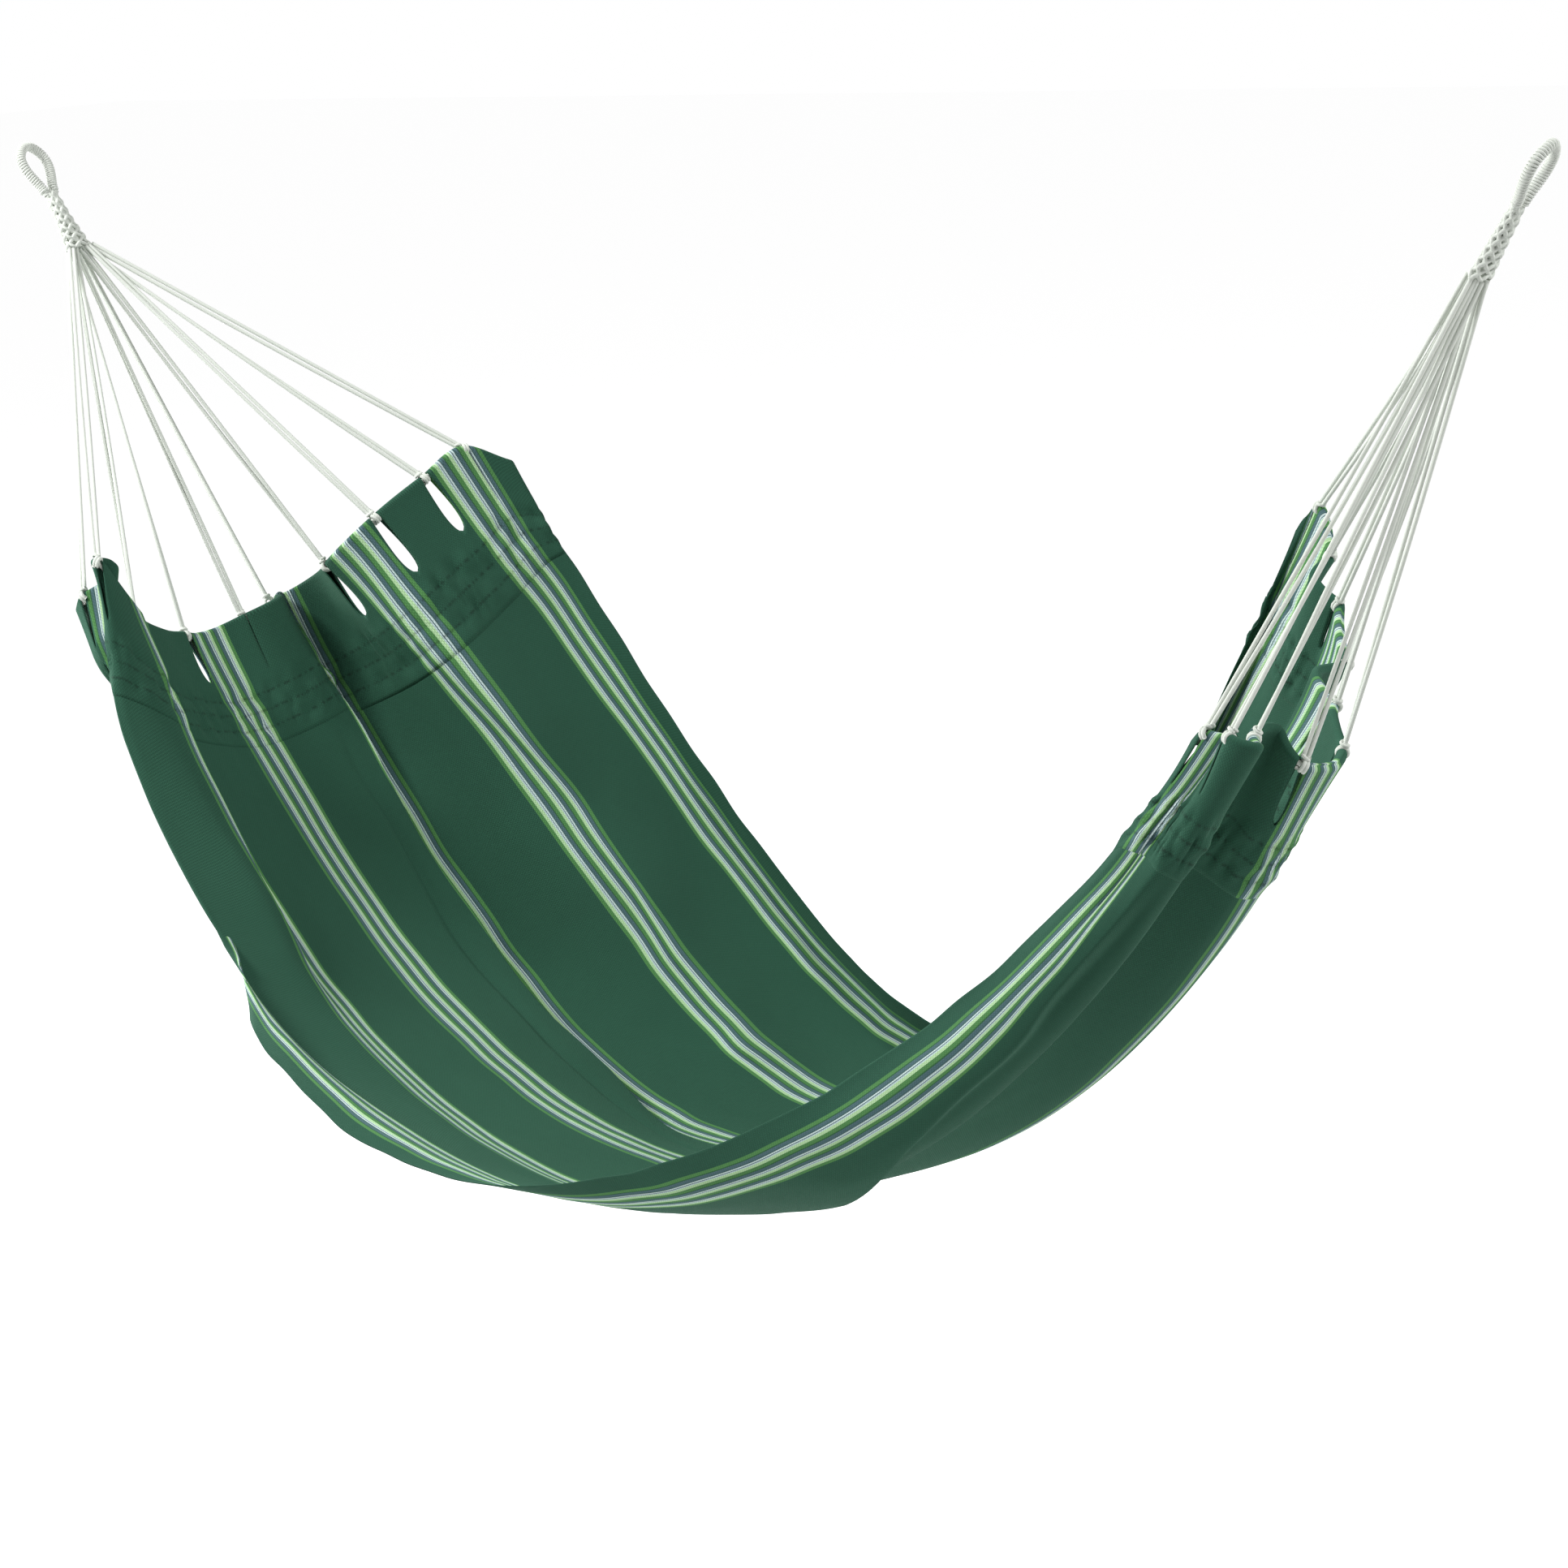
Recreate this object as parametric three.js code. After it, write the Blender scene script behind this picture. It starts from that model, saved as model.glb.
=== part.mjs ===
// A woven cotton hammock hung from two rope eyes, in millimetres, +Z up.
// The origin is the point where the left eye bears on its hook, and +X runs to the right eye.
import * as THREE from "three";

const UP = new THREE.Vector3(0, 0, 1);
const point = (x, y, z) => new THREE.Vector3(x, y, z);

// The cloth, measured flat. Places across it are in pitches, from the near edge to the far edge.
const LINES = 10;
const PITCH = 110;
const NEAR_EDGE = 0.85;
const FAR_EDGE = 10.15;
const TIE_PLACES = [1.05, 2.15, 3.1, 4.3, 5.25, 6.2, 7.45, 8.35, 9.2, 9.75];
const LENGTH = 2020;
const CLOTH = 1.2;
const HEM_DEPTH = 115;
const SEAM_LAP = 20;
const HEM_OFFSET = 2.4;
const SLOT_DEPTH = 48;
const SLOT_HALF = 0.09;
const TIE_REACH = 0.16;
const PLEAT_REACH = 0.2;
const PLEAT_CLOTH = 0.955;
const PLEAT_DEPTH = 0.45;
const PLEAT_MOST = 0.55;
const MARGIN_WAVE = 0.3;
const PLEAT_SIGNS = { left: [1, -1, 1, -1, 1, -1, 1, -1, 1], right: [1, -1, 1, -1, 1, 1, 1, 1, 1] };

// The slack near edge of the left half: past TUCK_FROM the cloth turns under, behind a rounded crest.
const TUCK_FROM = 2.05;
const TUCK = [-2, 94, -72];
const CREST_PLACE = 2.0;
const CREST = [-20, -21, 2];

// The cords and ropes.
const LINE_RADIUS = 3.5;
const END_ROPE_RADIUS = 3;
const FOLD_RADIUS = 5.6;
const KNOT_RING = 6.2;
const KNOT_CORD = 1.65;
const CORD_GAP = 8;
const EYE_CORE = 4.2;
const EYE_SLEEVE = 6.5;

// The two hook points are SPAN apart; each neck hangs NECK_DROP below and NECK_IN inside its hook.
const SPAN = 2090;
const NECK_IN = 55;
const NECK_DROP = 90;
const EYE_REACH = Math.hypot(NECK_IN, NECK_DROP);

// Warp lines of the hanging cloth, from the near edge to the far edge: the flat position across it
// in pitches, then five points a quarter of the length apart, from the left neck.
const WARP_LINES = [
  [0.85, [220, -250, -440], [597, -397, -869], [1000, -470, -985], [1390, -375, -845], [1752, -215, -500]],
  [1.4, [250, -265, -410], [600, -386, -832], [1037, -437, -990], [1430, -365, -870], [1800, -215, -480]],
  [2.6, [275, -205, -435], [630, -291, -888], [1050, -320, -1043], [1453, -295, -921], [1812, -190, -478]],
  [3.2, [270, -158, -463], [634, -238, -915], [1048, -255, -1057], [1398, -214, -930], [1812, -190, -480]],
  [4.67, [240, -40, -495], [625, -85, -935], [1018, -95, -1070], [1421, -66, -974], [1815, -95, -515]],
  [6.3, [220, 100, -495], [615, 85, -970], [975, 75, -1100], [1340, 90, -925], [1765, 45, -485]],
  [7.9, [330, 125, -410], [720, 225, -935], [1015, 230, -1090], [1365, 225, -900], [1690, 195, -415]],
  [9.6, [375, 290, -320], [735, 400, -875], [1005, 420, -1070], [1265, 375, -885], [1640, 277, -330]],
  [10.15, [395, 325, -270], [740, 400, -820], [1020, 395, -1030], [1280, 330, -870], [1615, 292, -330]],
];

// Where the ten cords of each end hold the cloth, near to far, from that end's own neck. The first
// and last point of each list are the free corners of the cloth.
const LEFT_TIES = [
  [230, -246, -437],
  [240, -255, -420],
  [277, -263, -374],
  [265, -195, -455],
  [230, -80, -500],
  [240, 15, -495],
  [205, 100, -490],
  [295, 115, -440],
  [360, 140, -380],
  [380, 215, -340],
  [398, 275, -310],
  [433, 324, -334],
];
const RIGHT_TIES = [
  [-232, -206, -480],
  [-214, -222, -464],
  [-179, -236, -462],
  [-172, -198, -470],
  [-145, -150, -505],
  [-153, -52, -512],
  [-204, 29, -485],
  [-246, 133, -463],
  [-291, 198, -413],
  [-325, 245, -370],
  [-352, 272, -321],
  [-381, 279, -349],
];

const parts = new THREE.Group();
const cottonLook = new THREE.MeshStandardMaterial({ color: 0x2f6b52, roughness: 0.9 });
const cordLook = new THREE.MeshStandardMaterial({ color: 0xedebe6, roughness: 0.85 });

function add(name, geometry, material) {
  const mesh = new THREE.Mesh(geometry, material.clone());
  mesh.name = name;
  parts.add(mesh);
}

// Catmull-Rom value at x through knots xs with points ps.
function along(xs, ps, x) {
  let k = 0;
  while (k < xs.length - 2 && x > xs[k + 1]) k += 1;
  const slope = (i) => {
    const a = Math.max(i - 1, 0);
    const b = Math.min(i + 1, xs.length - 1);
    return ps[b].clone().sub(ps[a]).divideScalar(xs[b] - xs[a]);
  };
  const h = xs[k + 1] - xs[k];
  const t = (x - xs[k]) / h;
  const out = ps[k].clone().multiplyScalar(2 * t ** 3 - 3 * t ** 2 + 1);
  out.addScaledVector(ps[k + 1], 3 * t ** 2 - 2 * t ** 3);
  out.addScaledVector(slope(k), h * (t ** 3 - 2 * t ** 2 + t));
  out.addScaledVector(slope(k + 1), h * (t ** 3 - t ** 2));
  return out;
}

// The quartic through five points a quarter apart.
function quartic(ps, s) {
  const out = point(0, 0, 0);
  for (let i = 0; i < 5; i += 1) {
    let w = 1;
    for (let j = 0; j < 5; j += 1) if (j !== i) w *= (4 * s - j) / (i - j);
    out.addScaledVector(ps[i], w);
  }
  return out;
}

const leftNeck = point(NECK_IN, 0, -NECK_DROP);
const rightNeck = point(SPAN - NECK_IN, 0, -NECK_DROP);
const warpAt = WARP_LINES.map((w) => w[0]);
const warpPoints = WARP_LINES.map((w) => w.slice(1).map((p) => point(...p).add(leftNeck)));
const tieAt = [NEAR_EDGE, ...TIE_PLACES, FAR_EDGE];
const leftTies = LEFT_TIES.map((p) => point(...p).add(leftNeck));
const rightTies = RIGHT_TIES.map((p) => point(...p).add(rightNeck));

// The hanging cloth's middle surface: u across in pitches, s from 0 at the left end to 1.
function smoothCloth(u, s) {
  return along(warpAt, warpPoints.map((ps) => quartic(ps, s)), u);
}
function tiedCloth(u, s) {
  const out = smoothCloth(u, s);
  for (const [end, ties] of [[s, leftTies], [1 - s, rightTies]]) {
    if (end >= TIE_REACH) continue;
    const pull = (1 - end / TIE_REACH) ** 2;
    const edge = s < 0.5 ? 0 : 1;
    out.addScaledVector(along(tieAt, ties, u).sub(smoothCloth(u, edge)), pull);
  }
  return out;
}

// Between two ties that are closer than the cloth is wide, the cloth bows out as a pleat.
function pleatedCloth(u, s) {
  const out = tiedCloth(u, s);
  const end = Math.min(s, 1 - s);
  if (end >= PLEAT_REACH) return out;
  const side = s < 0.5 ? "left" : "right";
  const ties = s < 0.5 ? leftTies : rightTies;
  let k = 1;
  while (k < LINES - 1 && u > tieAt[k + 1]) k += 1;
  const gap = tieAt[k + 1] - tieAt[k];
  const phase = (u - tieAt[k]) / gap;
  const wave = Math.sin(Math.PI * phase) * (phase < 0 || phase > 1 ? MARGIN_WAVE : 1);
  const chord = ties[k].distanceTo(ties[k + 1]);
  const slack = Math.sqrt(Math.max((PLEAT_CLOTH * PITCH * gap) ** 2 - chord ** 2, 0));
  const depth = Math.min(PLEAT_DEPTH * slack, PLEAT_MOST * chord) * (1 - end / PLEAT_REACH) ** 2;
  const du = tiedCloth(u + 0.02, s).sub(tiedCloth(u - 0.02, s));
  const ds = tiedCloth(u, Math.min(s + 0.002, 1)).sub(tiedCloth(u, Math.max(s - 0.002, 0)));
  return out.addScaledVector(ds.cross(du).normalize(), depth * wave * PLEAT_SIGNS[side][k - 1]);
}

// 0 outside rise..end and 1 between full and ease, with smooth flanks.
function bump(s, rise, full, ease, end) {
  return THREE.MathUtils.smoothstep(s, rise, full) * (1 - THREE.MathUtils.smoothstep(s, ease, end));
}

function cloth(u, s) {
  const out = pleatedCloth(u, s);
  const under = Math.max(TUCK_FROM - u, 0) / (TUCK_FROM - NEAR_EDGE);
  out.addScaledVector(point(...TUCK), under * bump(s, 0.02, 0.07, 0.17, 0.26));
  const crest = Math.exp(-(((u - CREST_PLACE) / 0.42) ** 2));
  return out.addScaledVector(point(...CREST), crest * bump(s, 0, 0.08, 0.29, 0.42));
}

// The cloth's upward normal, and its direction away from the middle, at (u, s).
function clothFrame(u, s) {
  const du = 0.05;
  const ds = 0.004;
  const across = cloth(Math.min(u + du, FAR_EDGE), s).sub(cloth(Math.max(u - du, NEAR_EDGE), s));
  const lengthways = cloth(u, Math.min(s + ds, 1)).sub(cloth(u, Math.max(s - ds, 0))).normalize();
  const normal = lengthways.clone().cross(across).normalize();
  const outwards = lengthways.multiplyScalar(s < 0.5 ? -1 : 1);
  return { normal, outwards };
}

// A closed skin over a grid of cells. sides[i][j] holds the two faces' points, keep says which cells
// stay, and crossed says in which columns the cells split along their other diagonal.
function skin(sides, keep, crossed) {
  const rows = sides.length;
  const cols = sides[0].length;
  const index = (i, j, side) => 2 * (i * cols + j) + side;
  const kept = (i, j) => i >= 0 && j >= 0 && i < rows - 1 && j < cols - 1 && keep(i, j);
  const faces = [];
  const quad = (a, b, c, d) => faces.push(a, b, c, a, c, d);
  for (let i = 0; i < rows - 1; i += 1) {
    for (let j = 0; j < cols - 1; j += 1) {
      if (!kept(i, j)) continue;
      for (const side of [0, 1]) {
        const cell = [index(i, j, side), index(i + 1, j, side), index(i + 1, j + 1, side), index(i, j + 1, side)];
        if (crossed(j)) cell.push(cell.shift());
        if (side === 0) cell.splice(1, 3, cell[3], cell[2], cell[1]);
        quad(...cell);
      }
      const wall = (a, b) => quad(index(...a, 0), index(...b, 0), index(...b, 1), index(...a, 1));
      if (!kept(i - 1, j)) wall([i, j + 1], [i, j]);
      if (!kept(i + 1, j)) wall([i + 1, j], [i + 1, j + 1]);
      if (!kept(i, j - 1)) wall([i, j], [i + 1, j]);
      if (!kept(i, j + 1)) wall([i + 1, j + 1], [i, j + 1]);
    }
  }
  const used = new Map();
  const positions = [];
  const indices = faces.map((f) => {
    if (!used.has(f)) {
      const p = sides[Math.floor(f / 2 / cols)][Math.floor(f / 2) % cols][f % 2];
      used.set(f, used.size);
      positions.push(p.x, p.y, p.z);
    }
    return used.get(f);
  });
  const geometry = new THREE.BufferGeometry();
  geometry.setAttribute("position", new THREE.Float32BufferAttribute(positions, 3));
  geometry.setIndex(indices);
  geometry.computeVertexNormals();
  return geometry;
}

// Places across the cloth where its solids have a row of points: slot sides and tab middles.
const acrossPlaces = [NEAR_EDGE, (NEAR_EDGE + TIE_PLACES[0]) / 2];
TIE_PLACES.forEach((place, k) => {
  acrossPlaces.push(place - SLOT_HALF, place + SLOT_HALF);
  if (k < LINES - 1) acrossPlaces.push((place + TIE_PLACES[k + 1]) / 2);
});
acrossPlaces.push((FAR_EDGE + TIE_PLACES[LINES - 1]) / 2, FAR_EDGE);
const inSlot = (i) => i % 3 === 2 && i < acrossPlaces.length - 2;

function bedSheet() {
  const first = (HEM_DEPTH - SEAM_LAP) / LENGTH;
  const lapped = HEM_DEPTH / LENGTH;
  const steps = 14;
  const places = [first];
  for (let j = 0; j <= steps; j += 1) places.push(lapped + ((1 - 2 * lapped) * j) / steps);
  places.push(1 - first);
  const sides = acrossPlaces.map((u) =>
    places.map((s) => {
      const { normal } = clothFrame(u, s);
      const middle = cloth(u, s);
      return [1, -1].map((side) => middle.clone().addScaledVector(normal, (side * CLOTH) / 2));
    }),
  );
  add("bed_sheet", skin(sides, () => true, () => false), cottonLook);
}

// The folded end facing: down its upper leg to the fold, round the end rope, and back under the cloth.
function endHem(name, left) {
  const legs = [
    [HEM_DEPTH, HEM_OFFSET],
    [HEM_DEPTH - SEAM_LAP, HEM_OFFSET],
    [SLOT_DEPTH, HEM_OFFSET + 0.4],
    [18, FOLD_RADIUS],
  ];
  const stations = legs.map(([depth, offset]) => ({ depth, offset, turn: 0 }));
  for (const turn of [0, 45, 90, 135, 180]) stations.push({ depth: 0, offset: FOLD_RADIUS, turn });
  for (const [depth, offset] of legs.slice().reverse()) stations.push({ depth, offset, turn: 180 });
  const slotRows = [2, stations.length - 3];
  const sides = acrossPlaces.map((u) =>
    stations.map(({ depth, offset, turn }) => {
      const s = left ? depth / LENGTH : 1 - depth / LENGTH;
      const { normal, outwards } = clothFrame(u, s);
      const a = THREE.MathUtils.degToRad(turn);
      const away = normal.multiplyScalar(Math.cos(a)).addScaledVector(outwards, Math.sin(a));
      const middle = cloth(u, s);
      return [-1, 1].map((side) => middle.clone().addScaledVector(away, offset + (side * CLOTH) / 2));
    }),
  );
  const keep = (i, j) => !(inSlot(i) && j >= slotRows[0] && j < slotRows[1]);
  if (!left) sides.forEach((row) => row.forEach((pair) => pair.reverse()));
  const crossed = (j) => (left ? j < legs.length : j > legs.length + 3);
  add(name, skin(sides, keep, crossed), cottonLook);
}

function tube(curve, radius, sides, steps, hole = 0) {
  const shape = new THREE.Shape();
  const ring = (r) => Array.from({ length: sides }, (_, k) => {
    const a = (2 * Math.PI * k) / sides;
    return new THREE.Vector2(r * Math.cos(a), r * Math.sin(a));
  });
  shape.setFromPoints(ring(radius));
  if (hole) shape.holes.push(new THREE.Path(ring(hole).reverse()));
  return new THREE.ExtrudeGeometry(shape, { steps, extrudePath: curve, bevelEnabled: false });
}

// A closed solid through rings of points that all turn the same way.
function loft(rings, material, name) {
  const count = rings[0].length;
  const centres = [rings[0], rings[rings.length - 1]].map((ring) =>
    ring.reduce((sum, p) => sum.add(p), point(0, 0, 0)).divideScalar(count));
  const positions = [centres[0], ...rings.flat(), centres[1]];
  const top = positions.length - 1;
  const last = top - count;
  const indices = [];
  for (let k = 0; k < count; k += 1) {
    const next = (k + 1) % count;
    indices.push(0, 1 + next, 1 + k, last + k, last + next, top);
    for (let a = 1; a < last; a += count) {
      const b = a + count;
      indices.push(a + k, b + next, b + k, a + k, a + next, b + next);
    }
  }
  const geometry = new THREE.BufferGeometry();
  geometry.setAttribute("position", new THREE.Float32BufferAttribute(positions.flatMap((p) => p.toArray()), 3));
  geometry.setIndex(indices);
  geometry.computeVertexNormals();
  add(name, geometry, material);
}

function endRope(name, left) {
  const s = left ? 0 : 1;
  const places = [...acrossPlaces, ...tieAt.slice(1, -1)].sort((a, b) => a - b);
  const rings = places.map((u) => {
    const { normal, outwards } = clothFrame(u, s);
    return Array.from({ length: 6 }, (_, k) => {
      const a = (Math.PI * k * (left ? -1 : 1)) / 3;
      const middle = cloth(u, s).addScaledVector(normal, END_ROPE_RADIUS * Math.cos(a));
      return middle.addScaledVector(outwards, END_ROPE_RADIUS * Math.sin(a));
    });
  });
  loft(rings, cordLook, name);
}

// Each neck's frame: out towards its hook, across the fan, and square to both.
function neckFrame(left) {
  const out = point(left ? -NECK_IN : NECK_IN, 0, NECK_DROP).normalize();
  const across = point(0, 1, 0);
  return { centre: left ? leftNeck : rightNeck, out, across, square: out.clone().cross(across) };
}
function inNeck({ centre, out, across, square }, reach, side, depth) {
  const p = centre.clone().addScaledVector(out, reach).addScaledVector(across, side);
  return p.addScaledVector(square, depth);
}

const NECK_END = -36;
const SWIVEL = 28;

// The woven neck: a flattened cone with a domed top that turns under the eye.
function neck(name, left) {
  const frame = neckFrame(left);
  const profile = [[NECK_END, 22, 9.5], [-15, 17, 9], [8, 12.5, 8.5], [SWIVEL, 11, 8]];
  for (const a of [30, 60]) {
    const c = Math.cos(THREE.MathUtils.degToRad(a));
    profile.push([SWIVEL + 11 * Math.sin(THREE.MathUtils.degToRad(a)), 11 * c, 8 * c]);
  }
  profile.push([SWIVEL + 11 * Math.sin(THREE.MathUtils.degToRad(84)), 1.2, 0.9]);
  const rings = profile.map(([reach, wide, thick]) =>
    Array.from({ length: 12 }, (_, k) => {
      const a = (Math.PI * k) / 6;
      return inNeck(frame, reach, wide * Math.cos(a), thick * Math.sin(a));
    }));
  loft(rings, cordLook, name);
}

// The eye: a teardrop loop of core cord inside a wound sleeve.
function eye(side, left) {
  const frame = neckFrame(left);
  const top = EYE_REACH + EYE_SLEEVE;
  const half = [[40.5, 7.6], [52, 9.5], [66, 15.5], [80, 20], [94, 19.5], [106, 11.5]];
  const loop = [...half, [top, 0], ...half.slice().reverse().map(([r, y]) => [r, -y])];
  const route = new THREE.CatmullRomCurve3(loop.map(([r, y]) => inNeck(frame, r, y, 0)));
  add(side + "_eye_core", tube(route, EYE_CORE, 6, 20), cordLook);
  const wound = loop.slice();
  wound[0] = [44, 7.9];
  wound[wound.length - 1] = [44, -7.9];
  const outer = new THREE.CatmullRomCurve3(wound.map(([r, y]) => inNeck(frame, r, y, 0)));
  add(side + "_eye_whipping", tube(outer, EYE_SLEEVE, 8, 20, EYE_CORE + 0.9), cordLook);
}

// Where the cords leave the neck's end: the fan's own layout, spread until no two touch.
function cordStarts(frame, ties) {
  const starts = ties.slice(1, -1).map((tie) => {
    const fan = tie.clone().sub(frame.centre).multiplyScalar(0.07);
    return new THREE.Vector2(fan.dot(frame.across), 0.5 * fan.dot(frame.square));
  });
  const middle = starts.reduce((sum, p) => sum.add(p), new THREE.Vector2()).divideScalar(LINES);
  starts.forEach((p) => p.sub(middle));
  for (let pass = 0; pass < 400; pass += 1) {
    for (let i = 0; i < LINES; i += 1) {
      for (let j = i + 1; j < LINES; j += 1) {
        const apart = starts[j].clone().sub(starts[i]);
        const lack = CORD_GAP - apart.length();
        if (lack > 0) {
          apart.normalize().multiplyScalar(lack / 2);
          starts[j].add(apart);
          starts[i].sub(apart);
        }
      }
    }
    starts.forEach((p) => p.multiplyScalar(0.999));
  }
  return starts;
}

// The suspension cords of one end leave the neck in a staggered bunch and end at their knots.
function suspension(side, left) {
  const frame = neckFrame(left);
  const ties = left ? leftTies : rightTies;
  const starts = cordStarts(frame, ties);
  for (let k = 1; k <= LINES; k += 1) {
    const label = String(k).padStart(2, "0");
    const tie = ties[k];
    const start = inNeck(frame, NECK_END - 3.6, starts[k - 1].x, starts[k - 1].y);
    const pull = start.clone().sub(tie).normalize();
    const end = tie.clone().addScaledVector(pull, KNOT_RING + KNOT_CORD + 0.6);
    add(side + "_line_" + label, tube(new THREE.LineCurve3(start, end), LINE_RADIUS, 8, 3), cordLook);
    const knot = new THREE.TorusGeometry(KNOT_RING, KNOT_CORD, 5, 9);
    const s = left ? 0 : 1;
    const from = cloth(tieAt[k] - SLOT_HALF, s);
    const ropeway = cloth(tieAt[k] + SLOT_HALF, s).sub(from).normalize();
    knot.applyQuaternion(new THREE.Quaternion().setFromUnitVectors(UP, ropeway));
    knot.translate(...tie.toArray());
    add(side + "_knot_" + label, knot, cordLook);
  }
}

bedSheet();
for (const side of ["left", "right"]) {
  const left = side === "left";
  endHem(side + "_end_hem", left);
  endRope(side + "_end_rope", left);
  neck(side + "_neck", left);
  eye(side, left);
  suspension(side, left);
}

export default parts;
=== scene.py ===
"""Looks for the striped woven hammock: cloth, end hems, cords, necks, eyes, light and camera."""
import math

import bpy
import numpy as np
from mathutils import Matrix, Vector


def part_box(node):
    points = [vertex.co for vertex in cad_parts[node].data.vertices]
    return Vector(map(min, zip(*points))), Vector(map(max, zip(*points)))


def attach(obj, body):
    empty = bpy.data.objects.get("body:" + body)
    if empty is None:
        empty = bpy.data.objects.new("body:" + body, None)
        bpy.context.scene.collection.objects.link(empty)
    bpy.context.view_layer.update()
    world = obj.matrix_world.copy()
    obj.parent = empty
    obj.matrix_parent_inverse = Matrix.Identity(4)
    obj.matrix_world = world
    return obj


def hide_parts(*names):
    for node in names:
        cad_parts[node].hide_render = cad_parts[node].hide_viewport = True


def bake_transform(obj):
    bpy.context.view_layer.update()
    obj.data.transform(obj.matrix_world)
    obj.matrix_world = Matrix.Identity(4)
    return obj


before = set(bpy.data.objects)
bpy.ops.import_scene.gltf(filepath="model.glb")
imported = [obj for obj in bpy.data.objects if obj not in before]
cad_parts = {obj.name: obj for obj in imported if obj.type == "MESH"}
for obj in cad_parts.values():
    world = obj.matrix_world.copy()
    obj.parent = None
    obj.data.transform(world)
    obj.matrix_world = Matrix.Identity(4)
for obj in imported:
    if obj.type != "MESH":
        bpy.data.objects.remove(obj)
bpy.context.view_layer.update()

MM = 0.001

# ---------------------------------------------------------------- sizes, in millimetres
# The cloth's sizes are those of part.mjs, but for three things: the middle points of warp lines 0.85
# and 2.6 are 7 to 8 mm higher here, the first left pleat bows the other way, and FOLD_RADIUS is 5.6
# there. Depths from an end are in s * LENGTH. The surface is stretched near its ends, so HEM_DEPTH,
# SLOT_DEPTH and the stitch rows' depths measure 1.2 to 1.8 times as much along it.
LINES = 10
PITCH = 110.0
NEAR_EDGE = 0.85
FAR_EDGE = 10.15
TIE_PLACES = [1.05, 2.15, 3.1, 4.3, 5.25, 6.2, 7.45, 8.35, 9.2, 9.75]
LENGTH = 2020.0
CLOTH = 1.2
HEM_DEPTH = 115.0
SEAM_LAP = 20.0
SLOT_DEPTH = 48.0
TIE_REACH = 0.16
PLEAT_REACH = 0.2
PLEAT_CLOTH = 0.955
PLEAT_DEPTH = 0.45
PLEAT_MOST = 0.55
MARGIN_WAVE = 0.3
PLEAT_SIGNS = {
    "left": [-1, -1, 1, -1, 1, -1, 1, -1, 1],
    "right": [1, -1, 1, -1, 1, 1, 1, 1, 1],
}
TUCK_FROM = 2.05
TUCK = (-2, 94, -72)
TUCK_SPAN = (0.02, 0.07, 0.17, 0.26)
CREST_PLACE = 2.0
CREST_HALF = 0.42
CREST = (-20, -21, 2)
CREST_SPAN = (0.0, 0.08, 0.29, 0.42)
SPAN = 2090.0
NECK_IN = 55.0
NECK_DROP = 90.0
FOLD_RADIUS = 5.0
STRAND = 4.8

# Warp lines: the flat place across the cloth in pitches, then the points where s is 0, 1/4, 1/2, 3/4
# and 1, from the left neck. Many points of this table and of the two below are the output of a
# least-squares fit by another script, rounded to 5 mm. The rest were mostly moved from there.
WARP_LINES = [
    [0.85, [220, -250, -440], [597, -397, -869], [1000, -470, -977], [1390, -375, -845], [1752, -215, -500]],
    [1.4, [250, -265, -410], [600, -386, -832], [1037, -437, -990], [1430, -365, -870], [1800, -215, -480]],
    [2.6, [275, -205, -435], [630, -291, -888], [1050, -320, -1036], [1453, -295, -921], [1812, -190, -478]],
    [3.2, [270, -158, -463], [634, -238, -915], [1048, -255, -1057], [1398, -214, -930], [1812, -190, -480]],
    [4.67, [240, -40, -495], [625, -85, -935], [1018, -95, -1070], [1421, -66, -974], [1815, -95, -515]],
    [6.3, [220, 100, -495], [615, 85, -970], [975, 75, -1100], [1340, 90, -925], [1765, 45, -485]],
    [7.9, [330, 125, -410], [720, 225, -935], [1015, 230, -1090], [1365, 225, -900], [1690, 195, -415]],
    [9.6, [375, 290, -320], [735, 400, -875], [1005, 420, -1070], [1265, 375, -885], [1640, 277, -330]],
    [10.15, [395, 325, -270], [740, 400, -820], [1020, 395, -1030], [1280, 330, -870], [1615, 292, -330]],
]
# Where the cords hold each end of the cloth, near to far, from that end's own neck. The first and
# last points of each list are the cloth's free corners.
LEFT_TIES = [
    [230, -246, -437],
    [240, -255, -420],
    [277, -263, -374],
    [265, -195, -455],
    [230, -80, -500],
    [240, 15, -495],
    [205, 100, -490],
    [295, 115, -440],
    [360, 140, -380],
    [380, 215, -340],
    [398, 275, -310],
    [433, 324, -334],
]
RIGHT_TIES = [
    [-232, -206, -480],
    [-214, -222, -464],
    [-179, -236, -462],
    [-172, -198, -470],
    [-145, -150, -505],
    [-153, -52, -512],
    [-204, 29, -485],
    [-246, 133, -463],
    [-291, 198, -413],
    [-325, 245, -370],
    [-352, 272, -321],
    [-381, 279, -349],
]

LEFT_NECK = np.array([NECK_IN, 0, -NECK_DROP])
RIGHT_NECK = np.array([SPAN - NECK_IN, 0, -NECK_DROP])
WARP_AT = np.array([w[0] for w in WARP_LINES])
WARP_POINTS = np.array([w[1:] for w in WARP_LINES], float) + LEFT_NECK
TIE_AT = np.array([NEAR_EDGE, *TIE_PLACES, FAR_EDGE])
TIES = {
    "left": np.array(LEFT_TIES, float) + LEFT_NECK,
    "right": np.array(RIGHT_TIES, float) + RIGHT_NECK,
}


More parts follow.
